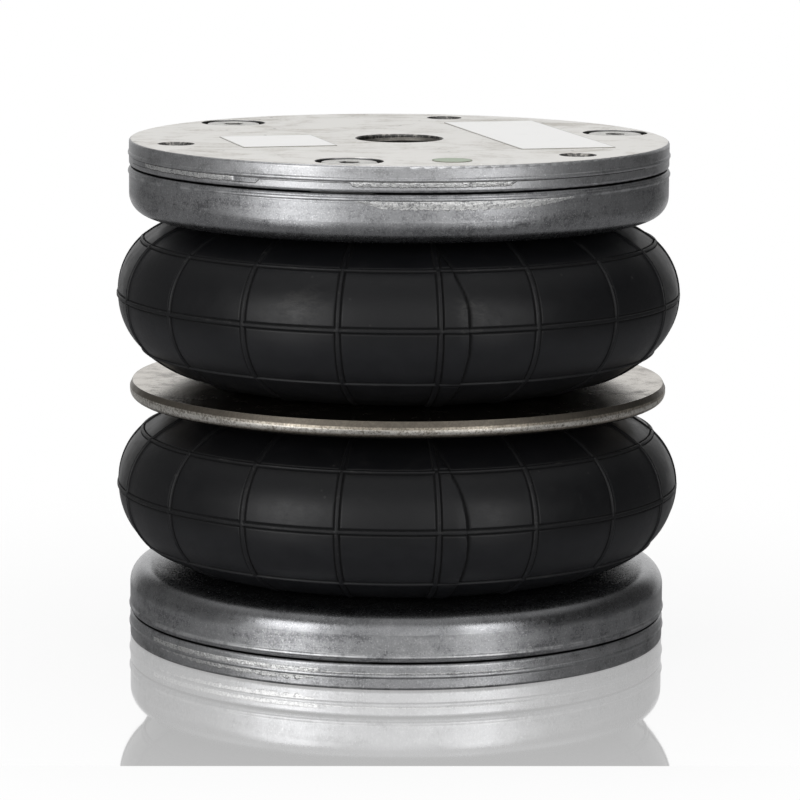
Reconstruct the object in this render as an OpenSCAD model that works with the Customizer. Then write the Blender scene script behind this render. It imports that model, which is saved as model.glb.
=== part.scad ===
// Double convolution air bellows actuator with bolted cast end plates, in millimetres.
// The base rests on z = 0, the bellows' axis is the z axis and the air port is on top.

/* [Bellows] */
// Height of the whole bellows, at rest, between its mounting faces
free_height = 141.6; // [136:0.2:146]
// How far the bellows' widest line stands out past the end plates
bulge = 3.2; // [1:0.1:8]
// Section radius of a convolution's rounded nose
nose_r = 20.5; // [18:0.1:23]
// Height of a convolution's flank over its widest line, towards a clamp ring
ring_rise = 22.2; // [20:0.1:25]
// Section radius of the flank towards a clamp ring
ring_flank_r = 30; // [27:0.5:34]
// Section radius of the flank towards the waist
waist_flank_r = 40; // [35:0.5:44]
// Thickness of the outer rubber cover
cover_t = 1.5; // [1.4:0.1:2.5]
// Thickness of each of the two cord plies
ply_t = 0.75; // [0.5:0.05:1.2]
// Thickness of the inner rubber liner
liner_t = 1.5; // [1:0.1:2.5]

/* [Moulded ribs] */
// Number of meridian ribs round each convolution
rib_count = 18; // [8:1:30]
// Angle of the first meridian rib from the x axis
rib_turn = 18.3; // [0:0.1:44]
// Width of a meridian rib at the widest line
rib_w = 1.5; // [0.8:0.1:3]
// Height of a meridian rib over the cover
rib_h = 0.5; // [0.45:0.05:0.8]
// Height over the widest line of the hoop rib where a flank begins
hoop_rise = 15.3; // [13.5:0.1:17]
// Section radius of the hoop ribs
hoop_r = 0.95; // [0.7:0.05:1.1]
// Height of the hoop ribs over the cover
hoop_h = 0.4; // [0.2:0.05:0.42]

/* [End plates] */
// Radius of the end plates and clamp rings
plate_r = 76; // [74:0.5:84]
// Thickness of an end plate at its rim
plate_t = 7.2; // [6.4:0.1:10]
// Radius of the rounded outer edges of the castings
edge_r = 0.8; // [0.3:0.1:1.5]
// Distance of the screws and tapped holes from the plate's rim
bolt_edge = 11; // [10.8:0.1:12.5]
// Number of tapped mounting holes, and of clamp screws between them
bolt_count = 3; // [2:1:4]
// Angle of the first tapped mounting hole from the x axis
bolt_turn = 78.2; // [0:0.1:120]
// Tapping diameter of the mounting holes
tap_d = 8.5; // [7:0.1:9.2]
// Depth of the chamfers at the mouths of the mounting holes
mouth_chamfer = 0.9; // [0.3:0.1:1.5]
// Diameter of the bosses round the mounting holes
tap_boss_d = 17; // [14:0.5:19]
// Depth of the bosses under the plate
boss_t = 4.3; // [3:0.1:5]
// Tapping diameter of the air port
port_d = 24.12; // [18:0.01:28]
// Depth of the chamfer at the mouth of the air port
port_chamfer = 0.4; // [0.2:0.1:1.5]
// Wall of the boss under the air port
port_wall = 7; // [4:0.1:9]
// Depth of the boss under the air port
port_boss_t = 6.8; // [4:0.1:10]

/* [Clamp rings] */
// Height of a clamp ring
ring_h = 13.55; // [12:0.05:16]
// Gap between a plate's rim and its clamp ring
split_gap = 0.4; // [0.3:0.1:1.2]
// Radius of the rounded edge that faces the bellows
ring_fillet = 6; // [3:0.1:7]
// Thickness of the lip under the bead
lip_t = 5.95; // [5:0.05:6.5]
// Section radius of the lip's rounded inner edge
lip_round = 3; // [2:0.1:4]
// How far the lip reaches in under the bead
lip_reach = 5.7; // [4.5:0.1:7]
// Metal left between a screw's thread and the ring's face towards the bellows
thread_floor = 1.65; // [1:0.05:3]

/* [Clamp screws] */
// Diameter of a screw's head
head_d = 16; // [13:0.1:16.6]
// Height of a screw's head
head_h = 6.5; // [5:0.1:6.8]
// How far a head lies under the plate's face
head_sink = 0.3; // [0.1:0.1:0.8]
// Gap between a head and its counterbore
head_gap = 1.3; // [0.2:0.05:1.4]
// Diameter of a screw's shank
shank_d = 10; // [9.5:0.1:11]
// Mean diameter of a screw's thread
thread_d = 9; // [8.8:0.1:9.3]
// Width of the hexagon socket across its flats
socket_af = 5; // [4:0.5:9]
// Depth of the hexagon socket
socket_t = 3.6; // [2:0.1:4.5]

/* [Girdle ring] */
// How far the girdle ring's rim lies inside the end plates'
girdle_inset = 0.1; // [-3:0.1:4]
// Thickness of the girdle ring
girdle_t = 4.9; // [4:0.1:7]
// Width of the slanted band round the girdle ring's upper edge
girdle_slant_w = 0.7; // [0.2:0.1:1.5]
// Height of the slanted band round the girdle ring's upper edge
girdle_slant_h = 1.5; // [0.5:0.1:2]
// Radius of the rounded lower edge of the girdle ring
girdle_edge_r = 2.4; // [0.5:0.1:2.6]

/* [Bead] */
// Diameter of the bead wire
wire_d = 4; // [2.5:0.1:4.6]
// Section radius of the bead's outer corners
bead_round = 2; // [1:0.1:2.5]

/* [Labels] */
// Thickness of the blank labels and of the dot
label_t = 0.15; // [0.1:0.05:0.4]
// Width of the large label
large_label_w = 27.3; // [20:0.1:30]
// Length of the large label
large_label_l = 80; // [60:1:86]
// Place of the large label's middle
large_label_at = [36.4, 12.8]; // [-60:0.1:60]
// Width of the small label
small_label_w = 26.8; // [16:0.1:32]
// Length of the small label
small_label_l = 31; // [20:0.5:34]
// Place of the small label's middle
small_label_at = [-33.9, -11.3]; // [-60:0.1:60]
// Angle that both labels are turned by
label_turn = 15; // [0:0.5:30]
// Radius of the labels' corners
label_corner_r = 1; // [0.5:0.1:4]
// Diameter of the inspection dot
dot_d = 10.8; // [6:0.1:12]
// Distance of the inspection dot's middle from the plate's rim
dot_edge = 14; // [10:0.1:20]
// Angle of the inspection dot from the x axis
dot_turn = 283.2; // [274:0.1:302]

/* [Hidden] */
$fn = 96;

// Clearance between the rubber and the metal that it lies against
rubber_gap = 0.3;
// Clearance between two bonded zones of the rubber
bond_gap = 0.05;
// Clearance of a boss in its pocket, of a shank in its hole and of a thread in its tapped hole
boss_gap = 0.3;
shank_gap = 0.3;
thread_gap = 0.05;
// Room past the tip of a screw in its tapped hole
tip_gap = 0.5;
// Wall of the clamp ring outside a boss pocket, and between a pocket and the bead
pocket_wall = 1.7;
bead_wall = 1.7;
// Wall of a screw's boss round its counterbore
counterbore_wall = 2.7;
// Height and section radius of the moulding line round a casting, and its place from the split
flash_h = 0.3;
flash_r = 0.8;
plate_flash = 3.4;
ring_flash = 1.4;
// How far a cutting tool stands out of the face that it cuts
cut = 1;
// Depth to which the meridian ribs are sunk in the cover, and how far they end from its edges
rib_root = 0.6;
rib_end = 8;
// Angle by which a flank's arc overlaps the nose's, under the hoop rib that covers their meeting
flank_lap = 1.5;

equator_r = plate_r + bulge;
nose_c = equator_r - nose_r;
hoop_arc = asin(hoop_rise / nose_r);
wall_t = cover_t + 2 * ply_t + liner_t;

ring_top = plate_t + split_gap;
end_h = ring_top + ring_h;
middle_z = free_height / 2;
equator_z = middle_z - end_h - rubber_gap - ring_rise;
waist_rise = equator_z - rubber_gap - girdle_t / 2;
ring_foot = flank_foot(ring_rise, ring_flank_r);
waist_foot = flank_foot(waist_rise, waist_flank_r);

bolt_circle_r = plate_r - bolt_edge;
counterbore_d = head_d + 2 * head_gap;
screw_boss_d = counterbore_d + 2 * counterbore_wall;
boss_limit_r = plate_r - pocket_wall - boss_gap;
pocket_floor = plate_t + boss_t + boss_gap;
head_seat = head_sink + head_h;
tap_end = end_h - thread_floor;

bead_pocket_r = bolt_circle_r - screw_boss_d / 2 - boss_gap - bead_wall;
lip_r = bead_pocket_r - lip_reach;
lip_flat_r = lip_r + lip_round;
lip_top = end_h - lip_t;
bead_r = bead_pocket_r - rubber_gap;
neck_r = lip_r - rubber_gap;
neck_in_r = neck_r - wall_t;
wire_at = [(bead_r + neck_in_r) / 2, (plate_t + lip_top) / 2];

// Radius at which a flank of this rise and section radius turns level
function flank_foot(rise, r) = nose_c + nose_r * cos(hoop_arc) - sqrt(r ^ 2 - (r - rise + hoop_rise) ^ 2);

// Section of a ring-shaped band between two radii and two angles, under half a turn
module arc_band(at, outer, inner, from, to) {
    reach = 2 * outer;
    half = (from + to) / 2;
    translate(at)
        intersection() {
            difference() {
                circle(r = outer);
                circle(r = inner);
            }
            polygon([
                [0, 0],
                reach * [cos(from), sin(from)],
                reach * [cos(half), sin(half)],
                reach * [cos(to), sin(to)]
            ]);
        }
}

// Cutter that leaves an outer corner of a section rounded; dx and dy point out of the corner
module corner_cut(at, r, dx, dy) {
    translate(at)
        mirror([dx < 0 ? 1 : 0, 0])
            mirror([0, dy < 0 ? 1 : 0])
                translate([-r, -r])
                    difference() {
                        square(r + cut);
                        circle(r = r);
                    }
}

// Section of a flank's arc from the hoop rib over the nose to where the flank turns level
module flank_section(foot, rise, r, outer, inner, end_gap) {
    reach = 2 * r;
    lap_arc = hoop_arc - flank_lap;
    intersection() {
        translate([foot, rise - r])
            difference() {
                circle(r = r - outer);
                circle(r = r - inner);
            }
        polygon([
            [nose_c, 0],
            [nose_c + reach * cos(lap_arc), reach * sin(lap_arc)],
            [foot + end_gap, reach],
            [foot + end_gap, 0]
        ]);
    }
}

// Section of one layer of the wall between two depths: the nose and its two flanks
module wall_section(outer, inner, end_gap) {
    arc_band([nose_c, 0], nose_r - outer, nose_r - inner, -hoop_arc, hoop_arc);
    flank_section(ring_foot, ring_rise, ring_flank_r, outer, inner, end_gap);
    mirror([0, 1])
        flank_section(waist_foot, waist_rise, waist_flank_r, outer, inner, end_gap);
}

// One layer of a convolution, with its widest line at z = 0
module wall_layer(outer, inner) {
    rotate_extrude()
        wall_section(outer, inner, 0);
}

// Outer cover of a convolution, with its hoop and meridian ribs
module ribbed_cover() {
    rib_angle = rib_w / equator_r * 180 / PI;
    rotate_extrude() {
        wall_section(0, cover_t, 0);
        for (angle = [-hoop_arc, 0, hoop_arc])
            translate([nose_c, 0] + (nose_r + hoop_h - hoop_r) * [cos(angle), sin(angle)])
                circle(r = hoop_r);
    }
    for (i = [0 : rib_count - 1])
        rotate(rib_turn + i * 360 / rib_count - rib_angle / 2)
            rotate_extrude(angle = rib_angle)
                wall_section(-rib_h, rib_root, rib_end);
}

// Places a convolution above or below the girdle ring, with its ring flank outwards
module upper() {
    translate([0, 0, middle_z + equator_z])
        children();
}

module lower() {
    translate([0, 0, middle_z - equator_z])
        mirror([0, 0, 1])
            children();
}

// Places an end's pieces, which are drawn inwards from the mounting face at z = 0
module top_end() {
    translate([0, 0, free_height])
        mirror([0, 0, 1])
            children();
}

// Places a child at each mounting hole, or half a pitch on at each clamp screw
module at_mounts() {
    for (i = [0 : bolt_count - 1])
        rotate(bolt_turn + i * 360 / bolt_count)
            translate([bolt_circle_r, 0, 0])
                children();
}

module at_screws() {
    rotate(180 / bolt_count)
        at_mounts()
            children();
}

// Bosses under a plate, kept inside the clamp ring's wall; gap is added for their pockets
module bosses(from, to, gap) {
    intersection() {
        union() {
            at_screws()
                translate([0, 0, from])
                    cylinder(d = screw_boss_d + 2 * gap, h = to - from);
            at_mounts()
                translate([0, 0, from])
                    cylinder(d = tap_boss_d + 2 * gap, h = to - from);
        }
        translate([0, 0, from])
            cylinder(r = boss_limit_r + gap, h = to - from);
    }
}

// Hole with a chamfer at its mouth on z = 0
module chamfered_hole(d, depth, chamfer) {
    mouth_r = d / 2 + chamfer;
    translate([0, 0, -cut])
        cylinder(d = d, h = depth + 2 * cut);
    translate([0, 0, -cut])
        cylinder(r1 = mouth_r + cut, r2 = d / 2, h = chamfer + cut);
}

// Cast end plate, with or without the air port
module end_plate(has_port) {
    plate_depth = plate_t + boss_t;
    port_depth = plate_t + port_boss_t;
    difference() {
        union() {
            rotate_extrude() {
                difference() {
                    square([plate_r, plate_t]);
                    corner_cut([plate_r, 0], edge_r, 1, -1);
                    corner_cut([plate_r, plate_t], edge_r, 1, 1);
                }
                translate([plate_r + flash_h - flash_r, plate_t - plate_flash])
                    circle(r = flash_r);
            }
            bosses(plate_t - cut, plate_depth, 0);
            if (has_port)
                cylinder(d = port_d + 2 * port_wall, h = port_depth);
        }
        at_mounts()
            chamfered_hole(tap_d, plate_depth, mouth_chamfer);
        at_screws()
            translate([0, 0, -cut])
                cylinder(d = counterbore_d, h = head_seat + cut);
        at_screws()
            cylinder(d = shank_d + 2 * shank_gap, h = plate_depth + cut);
        if (has_port)
            chamfered_hole(port_d, port_depth, port_chamfer);
    }
}

// Cast clamp ring that holds the bead against the plate
module clamp_ring() {
    difference() {
        rotate_extrude() {
            difference() {
                translate([lip_r, ring_top])
                    square([plate_r - lip_r, ring_h]);
                translate([lip_r - cut, ring_top - cut])
                    square([lip_reach + cut, lip_top - ring_top + cut]);
                corner_cut([lip_r, end_h], lip_round, -1, 1);
                corner_cut([plate_r, end_h], ring_fillet, 1, 1);
                corner_cut([plate_r, ring_top], edge_r, 1, -1);
            }
            translate([plate_r + flash_h - flash_r, ring_top + ring_flash])
                circle(r = flash_r);
        }
        bosses(ring_top - cut, pocket_floor, boss_gap);
        at_screws()
            translate([0, 0, ring_top])
                cylinder(d = thread_d, h = tap_end - ring_top);
    }
}

// Low-head socket screws that pull the plate and the clamp ring together
module clamp_screws() {
    thread_from = plate_t + boss_t;
    tip = tap_end - tip_gap;
    at_screws()
        difference() {
            union() {
                translate([0, 0, head_sink])
                    cylinder(d = head_d, h = head_h);
                translate([0, 0, head_seat - cut])
                    cylinder(d = shank_d, h = thread_from - head_seat + cut);
                translate([0, 0, thread_from - cut])
                    cylinder(r = thread_d / 2 - thread_gap, h = tip - thread_from + cut);
            }
            translate([0, 0, head_sink - cut])
                cylinder(d = socket_af / cos(30), h = socket_t + cut, $fn = 6);
        }
}

// Rubber from a convolution's flank, round the lip, to the bead in its pocket
module bead() {
    flange_from = end_h + rubber_gap;
    rotate_extrude()
        difference() {
            union() {
                translate([lip_flat_r, flange_from])
                    square([ring_foot - bond_gap - lip_flat_r, wall_t]);
                arc_band([lip_flat_r, end_h - lip_round], lip_round + rubber_gap + wall_t,
                         lip_round + rubber_gap, 90, 180);
                translate([neck_in_r, lip_top - cut])
                    square([wall_t, lip_t - lip_round + cut]);
                difference() {
                    translate([neck_in_r, plate_t])
                        square([bead_r - neck_in_r, lip_top - plate_t]);
                    corner_cut([bead_r, plate_t], bead_round, 1, -1);
                    corner_cut([bead_r, lip_top], bead_round, 1, 1);
                }
            }
            translate(wire_at)
                circle(d = wire_d);
        }
}

// Steel hoop inside the bead
module bead_wire() {
    rotate_extrude()
        translate(wire_at)
            circle(d = wire_d);
}

// Blank label with rounded corners on the top plate
module label(size, at, turn) {
    corner = [size[0] / 2 - label_corner_r, size[1] / 2 - label_corner_r];
    translate([at[0], at[1], free_height])
        rotate(turn)
            linear_extrude(label_t) {
                square([size[0], 2 * corner[1]], center = true);
                square([2 * corner[0], size[1]], center = true);
                for (x = [-corner[0], corner[0]], y = [-corner[1], corner[1]])
                    translate([x, y])
                        circle(r = label_corner_r);
            }
}

module top_plate() {
    color("gainsboro")
        top_end()
            end_plate(true);
}

module bottom_plate() {
    color("gainsboro")
        end_plate(false);
}

module top_clamp_ring() {
    color("darkgray")
        top_end()
            clamp_ring();
}

module bottom_clamp_ring() {
    color("darkgray")
        clamp_ring();
}

module top_clamp_screws() {
    color("silver")
        top_end()
            clamp_screws();
}

module bottom_clamp_screws() {
    color("silver")
        clamp_screws();
}

module top_bead() {
    color([0.13, 0.13, 0.14])
        top_end()
            bead();
}

module bottom_bead() {
    color([0.13, 0.13, 0.14])
        bead();
}

module top_bead_wire() {
    color("goldenrod")
        top_end()
            bead_wire();
}

module bottom_bead_wire() {
    color("goldenrod")
        bead_wire();
}

module upper_cover() {
    color([0.12, 0.12, 0.13])
        upper()
            ribbed_cover();
}

module lower_cover() {
    color([0.12, 0.12, 0.13])
        lower()
            ribbed_cover();
}

module upper_outer_ply() {
    color("darkkhaki")
        upper()
            wall_layer(cover_t, cover_t + ply_t);
}

module lower_outer_ply() {
    color("darkkhaki")
        lower()
            wall_layer(cover_t, cover_t + ply_t);
}

module upper_inner_ply() {
    color("tan")
        upper()
            wall_layer(cover_t + ply_t, cover_t + 2 * ply_t);
}

module lower_inner_ply() {
    color("tan")
        lower()
            wall_layer(cover_t + ply_t, cover_t + 2 * ply_t);
}

module upper_liner() {
    color([0.2, 0.2, 0.21])
        upper()
            wall_layer(wall_t - liner_t, wall_t);
}

module lower_liner() {
    color([0.2, 0.2, 0.21])
        lower()
            wall_layer(wall_t - liner_t, wall_t);
}

// Ring in the waist, with a full round on the edge that the rubber folds round
module girdle_ring() {
    girdle_r = plate_r - girdle_inset;
    color("rosybrown")
        translate([0, 0, middle_z])
            rotate_extrude() {
                difference() {
                    translate([waist_foot, -girdle_t / 2])
                        square([girdle_r - waist_foot, girdle_t]);
                    corner_cut([girdle_r, -girdle_t / 2], girdle_edge_r, 1, -1);
                    polygon([
                        [girdle_r - girdle_slant_w, girdle_t / 2],
                        [girdle_r, girdle_t / 2 - girdle_slant_h],
                        [girdle_r + cut, girdle_t / 2 + cut]
                    ]);
                }
                translate([waist_foot, 0])
                    circle(d = girdle_t);
            }
}

// Rubber waist that joins the two convolutions round the girdle ring's inner edge
module waist_band() {
    groove_r = girdle_t / 2 + rubber_gap;
    color([0.13, 0.13, 0.14])
        translate([0, 0, middle_z])
            rotate_extrude()
                intersection() {
                    difference() {
                        translate([waist_foot, 0])
                            circle(r = groove_r + wall_t);
                        translate([waist_foot, 0])
                            circle(r = groove_r);
                    }
                    translate([0, -groove_r - wall_t - cut])
                        square([waist_foot - bond_gap, 2 * (groove_r + wall_t + cut)]);
                }
}

module large_label() {
    color("white")
        label([large_label_w, large_label_l], large_label_at, label_turn);
}

module small_label() {
    color("white")
        label([small_label_w, small_label_l], small_label_at, label_turn);
}

module inspection_dot() {
    color("palegreen")
        rotate(dot_turn)
            translate([plate_r - dot_edge, 0, free_height])
                cylinder(d = dot_d, h = label_t);
}

top_plate();
top_clamp_ring();
top_clamp_screws();
top_bead();
top_bead_wire();
upper_cover();
upper_outer_ply();
upper_inner_ply();
upper_liner();
girdle_ring();
waist_band();
lower_cover();
lower_outer_ply();
lower_inner_ply();
lower_liner();
bottom_bead();
bottom_bead_wire();
bottom_clamp_ring();
bottom_clamp_screws();
bottom_plate();
large_label();
small_label();
inspection_dot();
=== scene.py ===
import math

import bmesh
import bpy
from bpy.props import FloatProperty, FloatVectorProperty, IntProperty, PointerProperty
from mathutils import Matrix, Vector, noise


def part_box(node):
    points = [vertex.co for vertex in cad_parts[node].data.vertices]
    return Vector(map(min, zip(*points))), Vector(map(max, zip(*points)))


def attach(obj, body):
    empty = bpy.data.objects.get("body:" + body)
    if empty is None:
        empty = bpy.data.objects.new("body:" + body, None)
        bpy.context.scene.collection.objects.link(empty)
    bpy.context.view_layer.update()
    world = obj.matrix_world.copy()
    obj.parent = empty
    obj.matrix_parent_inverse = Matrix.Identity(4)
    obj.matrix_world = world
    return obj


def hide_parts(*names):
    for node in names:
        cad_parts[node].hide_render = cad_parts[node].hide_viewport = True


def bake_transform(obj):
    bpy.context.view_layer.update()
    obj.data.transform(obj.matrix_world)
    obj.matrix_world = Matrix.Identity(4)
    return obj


bl_info = {
    "name": "Air bellows actuator",
    "version": (1, 0, 0),
    "blender": (4, 5, 0),
    "location": "View3D > Sidebar > Bellows",
    "description": "Dresses the packed air bellows with its rubber, castings, threads, labels and studio",
    "category": "Object",
}

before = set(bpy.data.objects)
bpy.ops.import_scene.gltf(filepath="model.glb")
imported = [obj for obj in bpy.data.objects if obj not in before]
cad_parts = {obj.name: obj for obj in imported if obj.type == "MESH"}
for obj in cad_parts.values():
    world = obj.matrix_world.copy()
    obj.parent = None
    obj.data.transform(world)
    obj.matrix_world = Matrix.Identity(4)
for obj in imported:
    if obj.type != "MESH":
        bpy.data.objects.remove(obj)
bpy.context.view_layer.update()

MM = 0.001
AXIS = Vector((0.0, 0.0, 1.0))
ORIGIN = Vector((0.0, 0.0, 0.0))
WHITE = (1.0, 1.0, 1.0)

TOP_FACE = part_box("top_plate")[1].z
BASE_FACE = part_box("bottom_plate")[0].z
# Body, name, mounting face and outward direction of each end
ENDS = (("top", "top", TOP_FACE, 1.0), ("base", "bottom", BASE_FACE, -1.0))
UPPER_EQUATOR = 97.95 * MM
LOWER_EQUATOR = 43.65 * MM
RIM = 76.0 * MM
BOLT_CIRCLE = 65.0 * MM
BOLT_TURN = math.radians(78.2)
BOLT_COUNT = 3
BOLT_STEP = 2 * math.pi / BOLT_COUNT

# Radii of the counterbores and of the holes' mouths, and the depth of a plate's rim, in millimetres
WELL_RADIUS = 9.6
TAP_MOUTH = 5.1
PORT_MOUTH = 12.4
PLATE_DEPTH = 7.08
# Rubbed places on the upper convolution and their reach, in millimetres
SMUDGES = (((-24.4, -75.5, 105.0), 8.0), ((19.5, -76.5, 103.5), 6.5), ((-29.0, -73.5, 104.0), 6.0))
# Width and length of each label, and the angle that they are turned by
LABELS = {"large_label": (27.3, 80.0), "small_label": (26.8, 31.0)}
LABEL_TURN = math.radians(15.0)
DOT_RADIUS = 5.4

# Axis of the arcs in a section, and how close a point lies to its arc
SECTION_AXIS = Vector((0.0, -1.0, 0.0))
ON_ARC = 0.01 * MM
# Vertices that are closer than this are joined: at the end of a full turn, and in a finished piece
SEAM = 0.001 * MM
TOUCHING = 0.0001 * MM
# Reach of the fine mesh beside a rib and a hoop, and behind and ahead of the lapped edge
RIB_REACH = 1.5 * MM
HOOP_REACH = 1.6 * MM
LAP_BACK = math.radians(3.6)
LAP_AHEAD = math.radians(1.6)
# Distances from a flank's foot between which the ribs begin
RIB_FADE = (5 * MM, 9 * MM)
# How far a thread's root lies in its wall, and the steps of one turn
THREAD_ROOT = 0.06 * MM
THREAD_STEPS = 40
# How far the casting flash goes into the rim, its rows, and the length of a step along the rim
FLASH_ROOT = 0.35 * MM
FLASH_ROWS = 10
FLASH_STEP = 0.3 * MM

FLOOR_GAP = 0.05 * MM
FLOOR_RADIUS = 12.0
# The floor's gloss in millimetres: how soft the glossy sheet's front edge is, the half width and soft sides
# of the matt patch before it, and the distances from the axis between which the gloss fades
SHEET_SOFT = 0.4
SHEET_SIDES = (78.0, 60.0)
GLOSS_FADE = (180.0, 440.0)
# Place, aim, width and height of each softbox, in metres
SOFTBOXES = {
    "left": ((-0.90, -0.91, 0.36), (0.0, 0.0, 0.07), 0.55, 0.7),
    "right": ((0.77, -0.99, 0.36), (0.0, 0.0, 0.07), 0.42, 0.7),
    "top": ((0.0, 0.15, 1.15), (0.0, 0.0, 0.14), 0.9, 0.9),
}
SENSOR_WIDTH = 36.0
CAMERA_SHIFT = 2.5 / 800


def length(description, millimetres):
    """A length that a user may change, in metres in Blender."""
    return FloatProperty(description=description, default=millimetres * MM, unit="LENGTH", precision=5)


def colour(description, default):
    """A linear colour that a user may change."""
    return FloatVectorProperty(description=description, default=default, subtype="COLOR", size=3,
                               min=0.0, max=1.0)


def turn(description, degrees):
    """An angle that a user may change."""
    return FloatProperty(description=description, default=math.radians(degrees), unit="ROTATION")


def brightness(description, default):
    """A brightness that a user may change; 1 is white."""
    return FloatProperty(description=description, default=default, min=0.0)


class RubberSizes(bpy.types.PropertyGroup):
    equator: length("Radius of a convolution at its widest line", 79.2)
    nose: length("Section radius of the rounded nose", 20.5)
    hoop_rise: length("Height of the outer hoop ribs over the equator", 15.3)
    ring_rise: length("Height of the flank at the clamp ring", 22.2)
    ring_flank: length("Section radius of the flank at the clamp ring", 30.0)
    waist_rise: length("Height of the flank at the girdle ring", 24.4)
    waist_flank: length("Section radius of the flank at the girdle ring", 40.0)
    wall: length("Thickness of the laminated wall", 4.5)
    rib_count: IntProperty(description="Number of meridian ribs", default=18, min=3)
    rib_turn: turn("Angle of the first meridian rib", 18.3)
    rib_width: length("Width of a meridian rib at its foot", 1.45)
    rib_height: length("Height of a meridian rib", 0.42)
    hoop_width: length("Width of a hoop rib at its foot", 1.35)
    edge_hoop_width: length("Width of a hoop rib by the flanks at its foot", 1.1)
    hoop_height: length("Height of a hoop rib", 0.4)
    groove: length("Depth of the groove along the foot of a rib", 0.2)
    splice_turn: turn("Angle of the edge where the fabric laps over itself", 283.7)
    splice_step: length("Height of the lapped edge", 0.48)
    splice_over: turn("Lean of the lapped edge at the hoop over the equator", 2.6)
    splice_under: turn("Lean of the lapped edge at the hoop under the equator", 0.6)


class MetalSizes(bpy.types.PropertyGroup):
    port_radius: length("Tapping radius of the air port", 12.06)
    port_pitch: length("Pitch of the air port's thread", 1.814)
    port_depth: length("Depth of the air port", 14.0)
    port_chamfer: length("Depth of the chamfer at the air port's mouth", 0.4)
    tap_radius: length("Tapping radius of the mounting holes", 4.25)
    tap_pitch: length("Pitch of the mounting holes' threads", 1.5)
    tap_depth: length("Depth of the mounting holes", 11.5)
    tap_chamfer: length("Depth of the chamfers at the mounting holes", 0.9)
    thread_height: length("How far a thread stands out of its wall", 0.5)
    head_radius: length("Radius of a clamp screw's head", 8.0)
    head_height: length("Height of a clamp screw's head", 6.5)
    head_sink: length("How far a head lies under the plate's face", 0.3)
    socket_flats: length("Width of the hexagon socket across its flats", 5.0)
    socket_depth: length("Depth of the hexagon socket", 3.6)
    shank_radius: length("Radius of a clamp screw's shank", 5.0)
    thread_radius: length("Radius of a clamp screw's thread in the ring", 4.45)
    screw_length: length("Length of a clamp screw from its head's face", 18.7)


class Finishes(bpy.types.PropertyGroup):
    cast_dark: colour("Dark patches of the castings", (0.20, 0.202, 0.21))
    cast_mid: colour("Main colour of the castings", (0.44, 0.444, 0.456))
    cast_bright: colour("Rubbed places of the castings", (0.74, 0.742, 0.75))
    face: colour("Main colour of the machined faces", (0.91, 0.895, 0.86))
    face_stain: colour("Stains on the machined faces", (0.60, 0.565, 0.51))
    rubber: colour("Main colour of the rubber", (0.0042, 0.0044, 0.0054))
    # Painted light: the lower flanks are made paler, as if lit from the floor in front
    painted_flank_light: colour("Pale bloom on the lower flanks", (0.0150, 0.0155, 0.0178))
    rubber_cloud: colour("Soft clouds on the rubber", (0.0052, 0.0054, 0.0068))
    rubber_dust: colour("Dust and rubbed places of the rubber", (0.034, 0.033, 0.032))
    # Painted shade: along the feet of the ribs and of the lapped edge, and a little on the crests
    rubber_rib_shade: colour("Rubber along the feet of the ribs", (0.0012, 0.0012, 0.0014))
    girdle: colour("Main colour of the girdle ring", (0.53, 0.475, 0.40))
    # Also painted shade on the girdle's chamfer and the lower part of its rim
    girdle_dark: colour("Tarnish on the girdle ring", (0.16, 0.142, 0.118))
    # Also a painted highlight on the left side of the girdle's rim
    girdle_bright: colour("Rubbed rim of the girdle ring", (0.84, 0.815, 0.76))
    torn: colour("Torn flash on the castings", (0.84, 0.84, 0.83))
    # Painted shade: darkens holes, screw sockets, faces behind the castings' edges and the edges of lined
    # flash strips
    painted_shade: colour("Oily dirt in holes and behind the castings' edges", (0.04, 0.038, 0.035))
    # Also the painted glints of thread in the dark mouths of the holes
    port_thread: colour("Air port's thread, and glints in the holes", (0.30, 0.285, 0.26))
    # Painted shade: the cut threads are darkened so that the holes read as shaded
    thread: colour("Cut threads in the holes", (0.11, 0.106, 0.10))
    screw: colour("Plating of the clamp screws", (0.78, 0.77, 0.74))
    wire: colour("Plating of the bead wire", (0.55, 0.45, 0.25))
    label: colour("Film of the blank labels", (0.94, 0.935, 0.92))
    # Dirt and painted shade along the edges and on the side faces of the films
    film_edge_dirt_and_shade: colour("Dirt along the edges of the films", (0.16, 0.145, 0.11))
    dot: colour("Film of the inspection dot", (0.42, 0.49, 0.38))


class StudioSettings(bpy.types.PropertyGroup):
    camera_back: length("Distance of the camera from the axis", 1163.7)
    camera_up: length("Height of the camera over the floor", 254.7)
    camera_pitch: turn("How far the camera looks down", 9.165)
    camera_roll: turn("How far the camera leans over", 0.4)
    camera_lens: FloatProperty(description="Focal length in millimetres", default=186.55)
    floor: colour("Colour of the floor", (0.95, 0.95, 0.95))
    floor_bounce: colour("Colour of the floor as it lights the object", (0.22, 0.22, 0.225))
    shadow_reach: length("Radius of the floor that shows the shadow", 260.0)
    gloss_floor: brightness("How white the floor is in reflections", 0.04)
    side_wall: brightness("Brightness of the side walls in reflections", 0.05)
    left_wall: brightness("Brightness of the left side wall in reflections", 0.16)
    front_wall: brightness("Brightness of the wall behind the camera in reflections", 0.85)
    mirror: brightness("Share of the floor's gloss over its Fresnel share", 1.4)
    mirror_seen: brightness("The same share where the camera looks at the floor", 1.9)
    mirror_end: length("Distance in front of the axis where the glossy sheet ends", 157.8)
    mirror_turn: turn("Angle of the glossy sheet's front edge", 1.6)
    ceiling: brightness("Brightness of the ceiling in reflections", 0.45)
    room_light: brightness("Brightness of the room as light", 0.5)
    left_lamp: brightness("Brightness of the left softbox", 3.9)
    right_lamp: brightness("Brightness of the right softbox", 2.7)
    top_lamp: brightness("Brightness of the softbox overhead", 1.6)


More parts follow.
